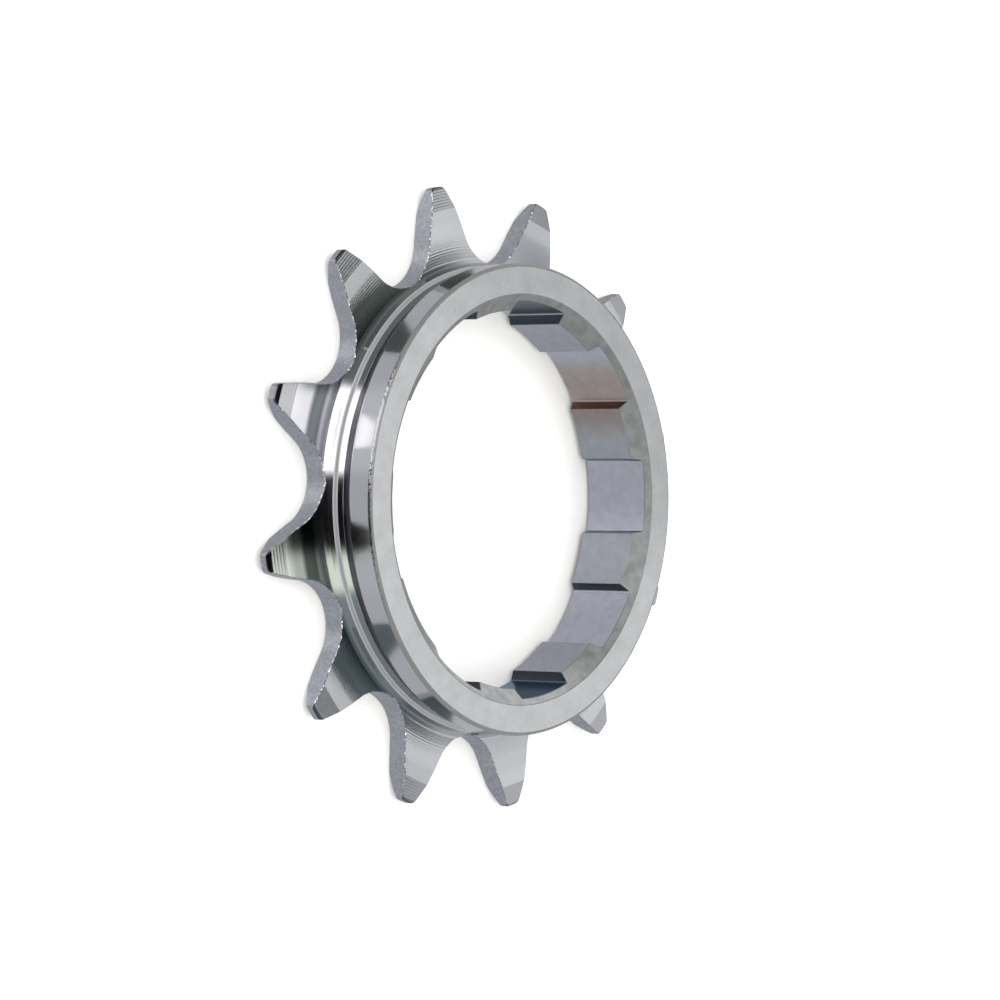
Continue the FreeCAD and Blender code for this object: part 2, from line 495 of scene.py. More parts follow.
def corner_rows(before, point, after, slot_before, slot):
    """The two rows of a corner of the section, broken over TURNED_EDGE on both sides."""
    rows = []
    for start, end, side, row_slot in ((before, point, 1, slot_before), (point, after, -1, slot)):
        ux, uz = unit(end[0] - start[0], end[1] - start[1])
        place = (point[0] - side * ux * TURNED_EDGE, point[1] - side * uz * TURNED_EDGE)
        rows.append((place, (-uz, ux), row_slot))
    return rows


def boss_profile():
    """The turned section from the front ring down to the fillet.

    Each row has its place, its normal and the material slot of the surface that ends there.
    """
    edge_centre = (BOSS_RADIUS - BOSS_EDGE, WIDTH - BOSS_EDGE)
    wall_end = (LAND_EDGE[0] + math.sin(LAND_DRAFT), LAND_EDGE[1] - math.cos(LAND_DRAFT))
    fillet_end = math.acos((FILLET_X - BOSS_FOOT) / FILLET_RADIUS)
    return (arc_rows(edge_centre, BOSS_EDGE, math.pi / 2.0, 0.0, BOSS_EDGE_STEPS, 1, EDGE)
            + corner_rows(BOSS_TOP, GROOVE_TOP, GROOVE_BOTTOM, BOSS, BOSS)
            + corner_rows(GROOVE_TOP, GROOVE_BOTTOM, LEDGE_END, SHADE, BOSS)
            + corner_rows(GROOVE_BOTTOM, LEDGE_END, LAND_EDGE, BOSS, LEDGE)
            + corner_rows(LEDGE_END, LAND_EDGE, wall_end, LEDGE, LEDGE)
            + arc_rows((FILLET_X, FILLET_Z), FILLET_RADIUS, math.pi + LAND_DRAFT,
                       math.pi + fillet_end, FILLET_STEPS, -1, BOSS))


def boss_rings(builder, rim):
    """The front ring and the outside of the boss, down to the last ring of the fillet."""
    angles = [FULL_TURN * k / TURNED_COLUMNS for k in range(TURNED_COLUMNS)]
    previous = None
    for (r, z), normal, slot in boss_profile():
        ring = builder.ring(angles, r, z, normal)
        if previous is None:
            builder.zipper(rim, ring, ANNULUS)
        else:
            builder.strip(previous, ring, slot)
        previous = ring
    return previous


class Teeth:
    """The toothed plate, meshed on columns of points that run inward from the outline."""

    def __init__(self, builder):
        self.builder = builder
        body = outline_samples()
        samples = body + [("tip", k / TIP_STEPS) for k in range(1, TIP_STEPS + 1)]
        self.inner, _ = gap_outline(samples, TOOTH_EDGE)
        self.outer, self.normals = gap_outline(samples, 0.0)
        self.radii = [math.hypot(x, y) for x, y in self.inner]
        self.last = len(body) - 1
        self.columns = self.all_columns()
        self.angles = [column.angle for column in self.columns]

    def all_columns(self):
        """The columns of every tooth gap, the second half of each a mirror of the first."""
        half = len(self.inner) - 1
        columns = []
        for tooth in range(TEETH):
            base = (tooth - 0.5) * STEP
            for c in range(2 * half):
                mirrored = c > half
                sample = 2 * half - c if mirrored else c
                angle = math.atan2(self.inner[sample][1], self.inner[sample][0])
                columns.append(Column(base, sample, mirrored, base + (STEP - angle if mirrored else angle)))
        return columns

    def spin(self, vector, column):
        """A vector of the half gap, mirrored and turned to its column."""
        x, y = vector
        if column.mirrored:
            x, y = rotated((x, -y), STEP)
        return rotated((x, y), column.base)

    def rows(self, height):
        """For each circle of the outline the points on the columns that reach so far in."""
        rows = []
        for k, r in enumerate(self.radii[:self.last + 1]):
            z = height(r)
            rows.append({c: self.builder.point(r * math.cos(column.angle), r * math.sin(column.angle), z)
                         for c, column in enumerate(self.columns) if column.sample >= k})
        return rows

    def cells(self, low, high, low_normal, high_normal, up, slot):
        """The faces between two rows. Columns that end at the inner row give triangles or none."""
        for c in range(len(self.columns)):
            d = (c + 1) % len(self.columns)
            if c not in low or d not in low:
                continue
            corners = [(row[k], about_axis(normal, self.angles[k]))
                       for row, k, normal in ((low, c, low_normal), (high, c, high_normal),
                                              (high, d, high_normal), (low, d, low_normal)) if k in row]
            if len(corners) > 2:
                self.builder.face(corners if up > 0 else corners[::-1], slot)

    def face(self, height, up):
        """The front or the back of the plate: its inner ring, and its rim along the outline."""
        rows = self.rows(height)
        for k in range(self.last):
            low_normal = slope_normal(height, self.radii[k], 1, up)
            high_normal = slope_normal(height, self.radii[k + 1], -1, up)
            slot = front_slot((self.radii[k] + self.radii[k + 1]) / 2.0) if up > 0 else BACK
            self.cells(rows[k], rows[k + 1], low_normal, high_normal, up, slot)
        ends = [min(column.sample, self.last) for column in self.columns]
        rim_ids = [rows[k][c] for c, k in enumerate(ends)]
        rim_normals = [about_axis(slope_normal(height, self.radii[k], -1, up), self.angles[c])
                       for c, k in enumerate(ends)]
        inner_ids = [rows[0][c] for c in range(len(self.columns))]
        inner_normal = slope_normal(height, self.radii[0], 1, up)
        return (Ring(inner_ids, self.angles, around(self.angles, inner_normal)),
                Ring(rim_ids, self.angles, rim_normals))

    def wall_ring(self, row, normals):
        """One ring of the walls, on its row between their front and their back."""
        ids = []
        for column in self.columns:
            point = self.outer[column.sample]
            r = math.hypot(*point)
            top, bottom = front_height(r) - TOOTH_EDGE, back_height(r) + TOOTH_EDGE
            z = top + (bottom - top) * row / WALL_ROWS
            ids.append(self.builder.point(*self.spin(point, column), z))
        return Ring(ids, self.angles, normals)

    def walls(self, rim, back_rim):
        """The flanks and tips, with a burred edge in front and a broken edge at the back."""
        normals = [self.spin(self.normals[column.sample], column) + (0.0,) for column in self.columns]
        previous, slot = rim, BURR
        for row in range(WALL_ROWS + 1):
            ring = self.wall_ring(row, normals)
            self.builder.strip(previous, ring, slot)
            previous, slot = ring, FLANK
        self.builder.strip(previous, back_rim, EDGE)


def cog_mesh(materials):
    builder = Builder()
    rim, back_rim = bore_rings(builder)
    boss_foot = boss_rings(builder, rim)
    teeth = Teeth(builder)
    front, front_rim = teeth.face(front_height, 1)
    back, back_outline = teeth.face(back_height, -1)
    teeth.walls(front_rim, back_outline)
    builder.zipper(boss_foot, front, BOSS)
    builder.zipper(back, back_rim, BACK)
    return builder.piece("cog_steel", materials)


# Camera, from the fit to the photograph: angles in radians, lengths in millimetres, focal length in
# pixels of the picture
CAMERA_TILT = 0.8793
CAMERA_ROLL = -0.0077
CAMERA_SHIFT = (-3.2123, 0.0749)
CAMERA_DISTANCE = 435.279
CAMERA_FOCAL = 4973.84
CAMERA_PHASE = math.radians(221.396)
PICTURE_WIDTH = 1000.0
SENSOR = 36.0

# The camera shows what lies between these distances, in metres.
NEAREST_SHOWN = 0.01
FARTHEST_SHOWN = 20.0


def turn_about_z(angle):
    cosine, sine = math.cos(angle), math.sin(angle)
    return np.array([[cosine, -sine, 0.0], [sine, cosine, 0.0], [0.0, 0.0, 1.0]])


def camera_axes():
    """Right, up and back of the camera in the frame of the part."""
    cosine, sine = math.cos(CAMERA_TILT), math.sin(CAMERA_TILT)
    tilt = np.array([[cosine, 0.0, sine], [0.0, 1.0, 0.0], [-sine, 0.0, cosine]])
    return turn_about_z(CAMERA_ROLL) @ tilt @ turn_about_z(CAMERA_PHASE)


def add_camera(axes):
    data = bpy.data.cameras.new("camera")
    data.sensor_width = SENSOR
    data.lens = CAMERA_FOCAL / PICTURE_WIDTH * SENSOR
    data.clip_start = NEAREST_SHOWN
    data.clip_end = FARTHEST_SHOWN
    place = axes.T @ np.array([-CAMERA_SHIFT[0], -CAMERA_SHIFT[1], CAMERA_DISTANCE]) * MM
    matrix = Matrix.Identity(4)
    for row in range(3):
        for column in range(3):
            matrix[row][column] = axes[column][row]
        matrix[row][3] = place[row]
    obj = bpy.data.objects.new("camera", data)
    obj.matrix_world = matrix
    bpy.context.scene.collection.objects.link(obj)
    bpy.context.scene.camera = obj


class Nodes:
    """Short names for building a node tree. The functions that take one call it n."""

    def __init__(self, tree):
        self.tree = tree
        tree.nodes.clear()

    def put(self, value, target):
        """Links a socket to an input, or sets the input to a number, a vector or a colour."""
        if isinstance(value, bpy.types.NodeSocket):
            self.tree.links.new(value, target)
        elif target.type == "RGBA":
            target.default_value = tuple(value) + (1.0,)
        else:
            target.default_value = value

    def add(self, kind, inputs=None, **settings):
        node = self.tree.nodes.new(kind)
        for key, value in settings.items():
            setattr(node, key, value)
        for key, value in (inputs or {}).items():
            self.put(value, node.inputs[key])
        return node

    def math(self, operation, a, b=0.0, c=0.0):
        return self.add("ShaderNodeMath", {0: a, 1: b, 2: c}, operation=operation).outputs[0]

    def times(self, a, b):
        return self.math("MULTIPLY", a, b)

    def inverse(self, a):
        return self.math("SUBTRACT", 1.0, a)

    def vector(self, operation, inputs):
        return self.add("ShaderNodeVectorMath", inputs, operation=operation).outputs[0]

    def measure(self, operation, inputs):
        return self.add("ShaderNodeVectorMath", inputs, operation=operation).outputs["Value"]

    def dot(self, a, b):
        return self.measure("DOT_PRODUCT", {0: a, 1: b})

    def smooth(self, value, span):
        """0 before the span, 1 after it, and a smooth step in it."""
        return self.add("ShaderNodeMapRange", {"Value": value, "From Min": span[0], "From Max": span[1]},
                        interpolation_type="SMOOTHSTEP").outputs[0]

    def mix(self, factor, a, b):
        node = self.add("ShaderNodeMix", data_type="RGBA")
        for name, value in (("Factor_Float", factor), ("A_Color", a), ("B_Color", b)):
            self.put(value, next(socket for socket in node.inputs if socket.identifier == name))
        return next(socket for socket in node.outputs if socket.identifier == "Result_Color")

    def spread(self, value, span, low, high):
        """From low to high, evenly, as the value crosses the span."""
        return self.add("ShaderNodeMapRange", {"Value": value, "From Min": span[0], "From Max": span[1],
                                               "To Min": low, "To Max": high}).outputs[0]

    def place(self):
        return self.add("ShaderNodeTexCoord").outputs["Object"]

    def normal(self):
        return self.add("ShaderNodeNewGeometry").outputs["Normal"]

    def noise(self, size, detail):
        """A noise on the part, with grains of a size in millimetres."""
        return self.add("ShaderNodeTexNoise", {"Vector": self.place(), "Scale": 1.0 / (size * MM),
                                               "Detail": detail})


# Colours of the studio, each by azimuth of the picture, in tiers for small to large tilts from the
# axis. A turn of the azimuth begins and ends at the seam.
SEAM = 41.4
SEAM_AGAIN = SEAM + 360.0
INNER_BANDS = [
    (SEAM, (0.20, 0.20, 0.22)),
    (65, (0.16, 0.16, 0.18)),
    (73, (0.34, 0.39, 0.45)),
    (94, (0.36, 0.42, 0.49)),
    (98, (1.17, 1.18, 1.19)),
    (112, (1.22, 1.23, 1.23)),
    (127, (1.20, 1.21, 1.22)),
    (137, (1.70, 1.70, 1.73)),
    (155, (1.75, 1.75, 1.77)),
    (172, (1.75, 1.75, 1.77)),
    (175, (0.09, 0.09, 0.09)),
    (191, (0.09, 0.09, 0.09)),
    (193.5, (2.60, 2.72, 2.50)),
    (201, (2.60, 2.72, 2.50)),
    (208, (2.60, 2.66, 2.56)),
    (225, (1.40, 1.43, 1.45)),
    (243, (1.06, 1.07, 1.09)),
    (262, (0.85, 0.87, 0.90)),
    (270, (0.60, 0.62, 0.66)),
    (300, (0.52, 0.54, 0.58)),
    (SEAM_AGAIN, (0.20, 0.20, 0.22)),
]
MIDDLE_BANDS = [
    (SEAM, (0.84, 0.84, 0.87)),
    (60, (0.84, 0.84, 0.87)),
    (71, (0.40, 0.42, 0.47)),
    (88, (0.55, 0.57, 0.61)),
    (97, (0.95, 0.96, 0.97)),
    (108, (0.92, 0.93, 0.93)),
    (115, (0.14, 0.16, 0.15)),
    (150, (0.12, 0.14, 0.13)),
    (155, (0.06, 0.07, 0.08)),
    (172, (0.05, 0.06, 0.06)),
    (178, (0.03, 0.03, 0.03)),
    (191, (0.03, 0.03, 0.03)),
    (195, (1.10, 1.17, 1.08)),
    (202, (1.00, 1.06, 0.99)),
    (206, (0.15, 0.18, 0.20)),
    (236, (0.16, 0.19, 0.21)),
    (245, (0.90, 0.91, 0.92)),
    (300, (0.90, 0.92, 0.96)),
    (SEAM_AGAIN, (0.84, 0.84, 0.87)),
]
OUTER_BANDS = [
    (SEAM, (0.38, 0.38, 0.40)),
    (75, (0.38, 0.39, 0.40)),
    (86, (0.75, 0.76, 0.77)),
    (95, (0.70, 0.71, 0.72)),
    (100, (0.32, 0.34, 0.34)),
    (106, (0.10, 0.12, 0.11)),
    (118, (0.07, 0.085, 0.08)),
    (151, (0.07, 0.085, 0.08)),
    (154, (2.40, 2.40, 2.45)),
    (172.5, (2.40, 2.40, 2.45)),
    (174.5, (0.006, 0.006, 0.008)),
    (192, (0.006, 0.006, 0.006)),
    (195, (0.95, 1.06, 0.90)),
    (202, (0.95, 1.06, 0.90)),
    (204.5, (0.11, 0.14, 0.15)),
    (238, (0.09, 0.12, 0.13)),
    (250, (0.16, 0.18, 0.19)),
    (257, (0.50, 0.52, 0.53)),
    (275, (0.45, 0.46, 0.47)),
    (SEAM_AGAIN, (0.45, 0.45, 0.47)),
]
HIGH_BANDS = [
    (SEAM, (0.45, 0.45, 0.47)),
    (100, (0.40, 0.41, 0.42)),
    (112, (0.18, 0.20, 0.19)),
    (151, (0.13, 0.15, 0.15)),
    (154, (2.40, 2.40, 2.45)),
    (172.5, (2.40, 2.40, 2.45)),
    (174.5, (0.006, 0.006, 0.008)),
    (192, (0.006, 0.006, 0.006)),
    (195, (0.95, 1.06, 0.90)),
    (202, (0.95, 1.06, 0.90)),
    (204.5, (0.24, 0.28, 0.30)),
    (240, (0.20, 0.23, 0.25)),
    (257, (0.45, 0.47, 0.48)),
    (SEAM_AGAIN, (0.45, 0.45, 0.47)),
]
STEEP_TONE = (0.54, 0.545, 0.59)

# The tilts in degrees over which one tier passes into the next
MIDDLE_TILTS = (4.5, 6.5)
OUTER_TILTS = (11.0, 13.0)
HIGH_TILTS = (35.0, 55.0)
STEEP_TILTS = (80.0, 88.0)

# What dull surfaces and the camera see of the studio
SOFT_LIGHT = (1.9, 1.9, 1.9)
BACKGROUND = (1.0, 1.0, 1.0)

# Floor, in metres
FLOOR_REACH = 4.0
FLOOR_DROP = 0.00002
FLOOR_TONE = (0.86, 0.85, 0.83)


def azimuth_ramp(n, place, bands):
    ramp = n.add("ShaderNodeValToRGB", {"Fac": place})
    elements = ramp.color_ramp.elements
    while len(elements) < len(bands):
        elements.new(0.5)
    for element, (degrees, colour) in zip(elements, bands):
        element.position = (degrees - math.degrees(CAMERA_PHASE)) / 360.0 + 0.5
        element.color = colour + (1.0,)
    return ramp.outputs["Color"]


def studio_tone(n, axes):
    """The colour that polished steel sees: bands by azimuth round the part, in tiers by tilt."""
    direction = n.add("ShaderNodeTexCoord").outputs["Generated"]
    # The normal of the mirror that would send this direction to the camera
    half = n.vector("NORMALIZE", {0: n.vector("ADD", {0: direction, 1: tuple(axes[2])})})
    parts = n.add("ShaderNodeSeparateXYZ", {0: half})
    angle = n.math("DEGREES", n.math("ARCTAN2", parts.outputs["Y"], parts.outputs["X"]))
    place = n.math("MULTIPLY_ADD", angle, 1.0 / 360.0, 0.5)
    tilt = n.math("DEGREES", n.math("ARCCOSINE", parts.outputs["Z"]))
    tone = azimuth_ramp(n, place, INNER_BANDS)
    for tilts, bands in ((MIDDLE_TILTS, MIDDLE_BANDS), (OUTER_TILTS, OUTER_BANDS), (HIGH_TILTS, HIGH_BANDS)):
        tone = n.mix(n.smooth(tilt, tilts), tone, azimuth_ramp(n, place, bands))
    return n.mix(n.smooth(tilt, STEEP_TILTS), tone, STEEP_TONE)


def add_world(axes):
    """A studio that the turned rings show as bands, with a plain soft light and a white background."""
    world = bpy.data.worlds.new("studio")
    world.use_nodes = True
    world.cycles.sampling_method = "NONE"
    bpy.context.scene.world = world
    n = Nodes(world.node_tree)
    path = n.add("ShaderNodeLightPath")
    studio = n.mix(path.outputs["Is Glossy Ray"], SOFT_LIGHT, studio_tone(n, axes))
    shown = n.mix(path.outputs["Is Camera Ray"], studio, BACKGROUND)
    out = n.add("ShaderNodeBackground", {"Color": shown, "Strength": 1.0})
    n.add("ShaderNodeOutputWorld", {"Surface": out.outputs[0]})


def floor_material():
    material = bpy.data.materials.new("floor")
    material.use_nodes = True
    n = Nodes(material.node_tree)
    path = n.add("ShaderNodeLightPath")
    diffuse = n.add("ShaderNodeBsdfDiffuse", {"Color": FLOOR_TONE})
    # The polished steel looks past the floor into the studio.
    clear = n.add("ShaderNodeBsdfTransparent")
    surface = n.add("ShaderNodeMixShader", {0: path.outputs["Is Glossy Ray"], 1: diffuse.outputs[0],
                                            2: clear.outputs[0]})
    n.add("ShaderNodeOutputMaterial", {"Surface": surface.outputs[0]})
    return material


def add_floor():
    mesh = bpy.data.meshes.new("floor")
    corners = [(x * FLOOR_REACH, y * FLOOR_REACH, 0.0) for x, y in ((-1, -1), (1, -1), (1, 1), (-1, 1))]
    mesh.from_pydata(corners, [], [(0, 1, 2, 3)])
    mesh.materials.append(floor_material())
    obj = bpy.data.objects.new("floor", mesh)
    obj.location = (0.0, 0.0, -FLOOR_DROP)
    bpy.context.scene.collection.objects.link(obj)


# Pitch of the feed marks in millimetres, and on the teeth that face the camera
FEED = 0.25
COARSE_FEED = 0.31

# Azimuths of the picture: of the teeth that face the camera, of the painted shade on the front ring,
# of the painted light on the cone and of the blue groove in the bore
FACING_AZIMUTH = math.radians(176.0)
SHADED_AZIMUTH = math.radians(50.0)
LIT_CONE_AZIMUTH = math.radians(262.0)
BLUE_AZIMUTH = math.radians(283.0)

# The stain in the bore, as an azimuth of the part
STAIN_AZIMUTH = math.radians(172.0)

# How each of them comes in, by the cosine of the angle from its azimuth
NOT_AWAY_SPAN = (-0.15, 0.10)
NOT_SIDE_SPAN = (0.35, 0.60)
FACING_SPAN = (0.80, 0.90)
HIGHLIGHT_SPAN = (0.80, 0.92)
SHADED_SPAN = (0.2, 0.75)
LIT_CONE_SPAN = (0.70, 0.95)
BLUE_SPAN = (0.93, 0.96)
STAIN_SPAN = (0.965, 0.999)

# How marks and tones come in by the distance from the axis
PAST_BOSS_SPAN = (21.5, 22.4)
SWEEP_MARKS_SPAN = (22.2, 22.8)
PAST_SWEEP_SPAN = (23.7, 24.3)
PAINTED_RING_SPAN = (21.6, 22.1)
PAST_PAINTED_RING_SPAN = (23.1, 23.8)
PAINTED_BLACK_TIP_SPAN = (26.97, 27.05)
PAST_BURRS_SPAN = (FACET_RADIUS - 0.2, FACET_RADIUS - 0.05)
DARK_TIP_SPAN = (FACET_RADIUS - 0.2, FACET_RADIUS)
GROOVE_SPAN = (16.9, 17.1)
UNWORN_SPAN = (16.6, 17.1)

# How rounded edges that look up, and the painted shade on the sides of the lugs, come in by the
# cosine of the angle between the normal and the axis or the way outward
UPWARD_SPAN = (0.60, 0.85)
LUG_SIDE_SPAN = (-0.80, -0.50)

# The lean of the swept face grows inward over this span.
LEAN_SPAN = (24.4, 22.6)
SWEEP_LEAN = 0.13

# Slopes of the feed marks on the teeth at the sides, slanted to the camera and facing it, and the
# leans of the chamfers
FACE_MARKS = 0.015
BOSS_MARKS = 0.34
SLANTED_FACE_MARKS = 0.11
FACING_FACE_MARKS = 0.04
CHAMFER_MARKS = 0.36
SLANTED_CHAMFER_MARKS = 0.20
FACING_CHAMFER_MARKS = 0.10
CHAMFER_LEAN = -0.145
FACING_CHAMFER_LEAN = 0.05

# The streaks of the turned surfaces run round the axis.
STREAK_ROTATION = 0.25

# Burrs on the teeth and nicks on the rounded edges: size in millimetres, and strength
BURR_SIZE = 0.22
BURR_STRENGTH = 4.0
NICK_SIZE = 0.16
NICK_STRENGTH = 0.6

# The part of the noise over which a cloud passes between its levels, and the detail of the noises
CLOUD_SPAN = (0.3, 0.7)
CLOUD_DETAIL = 3.0
SPARKLE_DETAIL = 1.0

# The broached steel is darker on the worn crests of the lugs, and gains this in the grooves.
CREST_TONE = 0.80
GROOVE_GAIN = 0.22

# How metallic the rounded edges are at the sides, and what they gain under the painted highlight
RIM_METALLIC = 0.4
HIGHLIGHT_GAIN = 0.6

# Painted black reflection for the tips of the teeth that face the camera
REFLECTION_BLACK = (0.004, 0.004, 0.004)


def metal(name, tone, roughness, streaks=0.0, metallic=1.0):
    """A plated steel, with the streaks of its machining when streaks is above 0."""
    material = bpy.data.materials.new(name)
    material.use_nodes = True
    n = Nodes(material.node_tree)
    shader = n.add("ShaderNodeBsdfPrincipled", {
        "Base Color": tone, "Metallic": metallic, "Roughness": roughness,
        "Anisotropic": streaks, "Anisotropic Rotation": STREAK_ROTATION,
    })
    if streaks:
        tangent = n.add("ShaderNodeTangent", direction_type="RADIAL", axis="Z")
        n.put(tangent.outputs[0], shader.inputs["Tangent"])
    n.add("ShaderNodeOutputMaterial", {"Surface": shader.outputs[0]})
    return material, n, shader


def radial(n):
    """The distance from the axis in millimetres, and the unit vector away from the axis."""
    place = n.vector("MULTIPLY", {0: n.place(), 1: (1.0 / MM, 1.0 / MM, 0.0)})
    return n.measure("LENGTH", {0: place}), n.vector("NORMALIZE", {0: place})


def tip_normal(n, shader, push):
    """Tips the shading normal by a vector."""
    total = n.vector("ADD", {0: n.normal(), 1: push})
    n.put(n.vector("NORMALIZE", {0: total}), shader.inputs["Normal"])


def scaled(n, vector, factor):
    return n.vector("SCALE", {0: vector, "Scale": factor})


def feed_marks(n, radius, pitch, slope):
    """The slope of rings left by the lathe tool at each turn."""
    return n.times(n.math("SINE", n.times(radius, FULL_TURN / pitch)), slope)


def cloud(n, size, low, high):
    """A soft grey noise between two levels, for worn and plated surfaces."""
    noise = n.noise(size, CLOUD_DETAIL)
    return n.spread(noise.outputs["Fac"], CLOUD_SPAN, low, high)


def sparkle(n, shader, size, strength):
    """Tips the shading normal at random, as fine burrs and nicks do."""
    noise = n.noise(size, SPARKLE_DETAIL)
    shift = n.vector("SUBTRACT", {0: noise.outputs["Color"], 1: (0.5, 0.5, 0.5)})
    tip_normal(n, shader, scaled(n, shift, strength))


def part_way(azimuth):
    """The unit vector at an azimuth of the part."""
    return math.cos(azimuth), math.sin(azimuth), 0.0


def picture_way(azimuth):
    """The unit vector, in the frame of the part, at an azimuth of the picture."""
    return part_way(azimuth - CAMERA_PHASE)


def toward_camera(n, outward):
    """The cosine of the angle about the axis from the teeth that face the camera."""
    return n.dot(outward, picture_way(FACING_AZIMUTH))


def marks_masks(n, outward):
    """Masks of the near teeth, and of those at the sides, slanted to the camera and facing it."""
    along = toward_camera(n, outward)
    not_away = n.smooth(along, NOT_AWAY_SPAN)
    not_side = n.smooth(along, NOT_SIDE_SPAN)
    facing = n.smooth(along, FACING_SPAN)
    sides = n.times(not_away, n.inverse(not_side))
    slanted = n.times(not_side, n.inverse(facing))
    return not_away, sides, slanted, facing


def face_marks(n, radius, sides, slanted, facing):
    """The slope of the feed marks on the faces of the teeth, deeper toward the boss."""
    near_boss = n.inverse(n.smooth(radius, PAST_BOSS_SPAN))
    middle = n.times(n.inverse(n.smooth(radius, PAST_SWEEP_SPAN)), n.smooth(radius, SWEEP_MARKS_SPAN))
    slope = n.times(sides, n.math("MULTIPLY_ADD", near_boss, BOSS_MARKS, FACE_MARKS))
    slope = n.math("MULTIPLY_ADD", n.times(slanted, middle), SLANTED_FACE_MARKS, slope)
    coarse_slope = n.times(n.times(facing, middle), FACING_FACE_MARKS)
    return n.math("ADD", feed_marks(n, radius, FEED, slope),
                  feed_marks(n, radius, COARSE_FEED, coarse_slope))


def face_steel():
    """The faces of the teeth, swept up a little toward the boss, with a painted reflection: a dark ring on
    the teeth that face the camera.
    """
    steel, painted_dark = (0.66, 0.66, 0.67), (0.13, 0.14, 0.145)
    material, n, shader = metal("steel_face", steel, roughness=0.15, streaks=1.0)
    radius, outward = radial(n)
    _, sides, slanted, facing = marks_masks(n, outward)
    sweep = n.spread(radius, LEAN_SPAN, 0.0, SWEEP_LEAN)
    slope = n.math("ADD", sweep, face_marks(n, radius, sides, slanted, facing))
    tip_normal(n, shader, scaled(n, outward, slope))
    # Painted reflection: a dark ring in the middle of the sweep on the teeth that face the camera, for the
    # dark place that they mirror.
    ring = n.times(n.inverse(n.smooth(radius, PAST_PAINTED_RING_SPAN)), n.smooth(radius, PAINTED_RING_SPAN))
    n.put(n.mix(n.times(facing, ring), steel, painted_dark), shader.inputs["Base Color"])
    return material


def chamfer_steel():
    """The front chamfers of the teeth, with the deepest feed marks, and a painted reflection on the teeth
    that face the camera: a darker tone and black ends.
    """
    steel, facing_reflection_steel = (0.64, 0.64, 0.65), (0.47, 0.47, 0.475)
    material, n, shader = metal("steel_chamfer", steel, roughness=0.16, streaks=1.0)
    radius, outward = radial(n)
    not_away, sides, slanted, facing = marks_masks(n, outward)
    depth = n.math("MULTIPLY_ADD", sides, CHAMFER_MARKS, n.times(slanted, SLANTED_CHAMFER_MARKS))
    marks = n.math("ADD", feed_marks(n, radius, FEED, depth),
                   feed_marks(n, radius, COARSE_FEED, n.times(facing, FACING_CHAMFER_MARKS)))
    slope = n.math("MULTIPLY_ADD", not_away, CHAMFER_LEAN, n.times(facing, FACING_CHAMFER_LEAN))
    tip_normal(n, shader, scaled(n, outward, n.math("ADD", slope, marks)))
    # Painted reflection on the teeth that face the camera: a darker tone, black at the outer ends of the
    # chamfers.
    black_reflection = n.times(facing, n.smooth(radius, PAINTED_BLACK_TIP_SPAN))
    n.put(n.mix(black_reflection, n.mix(facing, steel, facing_reflection_steel), REFLECTION_BLACK), shader.inputs["Base Color"])
    return material


def tip_steel():
    """The narrow facets at the tips, with a painted black reflection on the teeth that face the camera."""
    steel = (0.55, 0.55, 0.56)
    material, n, shader = metal("steel_tip", steel, roughness=0.25)
    facing = n.smooth(toward_camera(n, radial(n)[1]), FACING_SPAN)
    # Painted black reflection on the facets of the teeth that face the camera.
    n.put(n.mix(facing, steel, REFLECTION_BLACK), shader.inputs["Base Color"])
    return material


def burr_steel():
    """Sharp edges with fine burrs that sparkle, up to the blunt tips, and near black toward the tips."""
    steel, dark_tip_steel = (0.80, 0.80, 0.80), (0.13, 0.13, 0.14)
    material, n, shader = metal("steel_edge", steel, roughness=0.18)
    radius = radial(n)[0]
    strength = n.times(n.inverse(n.smooth(radius, PAST_BURRS_SPAN)), BURR_STRENGTH)
    sparkle(n, shader, BURR_SIZE, strength)
    # The edge turns near black toward the tips.
    n.put(n.mix(n.smooth(radius, DARK_TIP_SPAN), steel, dark_tip_steel), shader.inputs["Base Color"])
    return material


def rim_steel():
    """The rounded edges, nicked, with a painted highlight toward the camera and duller at the sides."""
    steel, highlight_steel = (0.20, 0.20, 0.20), (0.33, 0.33, 0.34)
    material, n, shader = metal("steel_rim", steel, roughness=0.22)
    upward = n.smooth(n.dot(n.normal(), (0.0, 0.0, 1.0)), UPWARD_SPAN)
    # Painted highlight toward the camera, except on the rounded edges that look up.
    highlight = n.times(n.smooth(toward_camera(n, radial(n)[1]), HIGHLIGHT_SPAN), n.inverse(upward))
    n.put(n.mix(highlight, steel, highlight_steel), shader.inputs["Base Color"])
    n.put(n.math("MULTIPLY_ADD", highlight, HIGHLIGHT_GAIN, RIM_METALLIC), shader.inputs["Metallic"])
    sparkle(n, shader, NICK_SIZE, NICK_STRENGTH)
    return material


def annulus_steel():
    """The ground front ring, a little cloudy, with painted shade on one side."""
    steel, shaded_steel = (0.74, 0.74, 0.74), (0.63, 0.635, 0.635)
    material, n, shader = metal("steel_annulus", steel, roughness=0.30, streaks=0.3)
    # Painted shade: the front ring is darker on one side.
    darker = n.smooth(n.dot(radial(n)[1], picture_way(SHADED_AZIMUTH)), SHADED_SPAN)
    tone = scaled(n, n.mix(darker, steel, shaded_steel), cloud(n, size=1.6, low=0.93, high=1.06))
    n.put(scaled(n, tone, cloud(n, size=0.25, low=0.96, high=1.04)), shader.inputs["Base Color"])
    return material


def flank_steel():
    """The cloudy plating on the flanks of the teeth."""
    steel = (0.50, 0.51, 0.54)
    material, n, shader = metal("steel_flank", steel, roughness=0.35)
    n.put(scaled(n, steel, cloud(n, size=0.30, low=0.85, high=1.18)), shader.inputs["Base Color"])
    return material


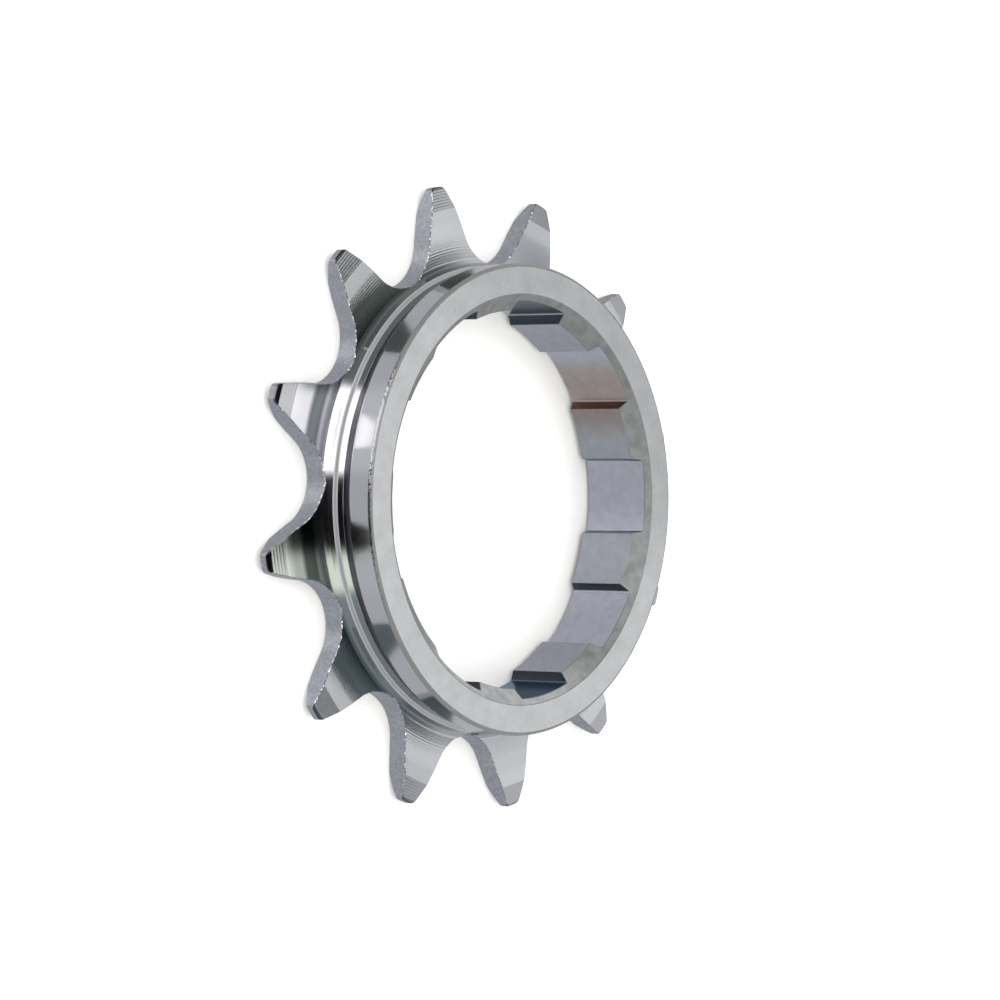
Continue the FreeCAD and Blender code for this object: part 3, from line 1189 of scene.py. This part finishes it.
def bore_steel():
    """The broached bore: painted shade on the sides of the lugs, a brown stain and a blue groove."""
    steel, stained, blue_steel = (0.58, 0.60, 0.64), (0.50, 0.43, 0.38), (0.12, 0.22, 0.33)
    painted_dark, stained_shade = (0.07, 0.085, 0.095), (0.16, 0.09, 0.06)
    material, n, shader = metal("steel_bore", steel, roughness=0.24)
    radius, outward = radial(n)
    # Painted shade on the sides of the lugs, browner where they lie in the stain.
    side = n.smooth(n.dot(n.normal(), outward), LUG_SIDE_SPAN)
    stain = n.smooth(n.dot(outward, part_way(STAIN_AZIMUTH)), STAIN_SPAN)
    blue = n.times(n.smooth(n.dot(outward, picture_way(BLUE_AZIMUTH)), BLUE_SPAN),
                   n.smooth(radius, GROOVE_SPAN))
    wall = n.mix(blue, n.mix(stain, steel, stained), blue_steel)
    lug_side_shade = n.mix(stain, painted_dark, stained_shade)
    worn = n.math("MULTIPLY_ADD", n.smooth(radius, UNWORN_SPAN), GROOVE_GAIN, CREST_TONE)
    worn = n.times(worn, cloud(n, size=0.8, low=0.95, high=1.05))
    n.put(scaled(n, n.mix(side, wall, lug_side_shade), worn), shader.inputs["Base Color"])
    return material


def cone_steel():
    """The cloudy cones at the mouths of the bore, with painted light on one side."""
    darker, painted_bright = (0.28, 0.285, 0.285), (0.50, 0.505, 0.51)
    material, n, shader = metal("steel_cone", darker, roughness=0.65, streaks=0.3, metallic=0.7)
    # Painted light: the cones are brighter on one side.
    along = n.dot(radial(n)[1], picture_way(LIT_CONE_AZIMUTH))
    tone = n.mix(n.smooth(along, LIT_CONE_SPAN), darker, painted_bright)
    n.put(scaled(n, tone, cloud(n, size=0.9, low=0.82, high=1.18)), shader.inputs["Base Color"])
    return material


def materials():
    """The materials, in the order of the slots of the mesh."""
    turned_steel, _, _ = metal("steel_turned", (0.66, 0.66, 0.67), roughness=0.16, streaks=0.9)
    back, _, _ = metal("steel_back", (0.62, 0.63, 0.64), roughness=0.40, streaks=0.9)
    ledge, _, _ = metal("steel_ledge", (0.42, 0.42, 0.44), roughness=0.40, metallic=0.4)
    # Painted shade: the upper wall of the groove under the boss is near black all round.
    shade, _, _ = metal("steel_shade", (0.03, 0.033, 0.055), roughness=0.25, streaks=0.5)
    return [annulus_steel(), turned_steel, face_steel(), chamfer_steel(), flank_steel(), bore_steel(),
            cone_steel(), rim_steel(), back, ledge, shade, burr_steel(), tip_steel()]


camera = camera_axes()
add_camera(camera)
add_world(camera)
add_floor()
cog = cog_mesh(materials())
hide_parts("cog")
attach(cog, "root")

scene = bpy.context.scene
scene.view_settings.view_transform = "Standard"
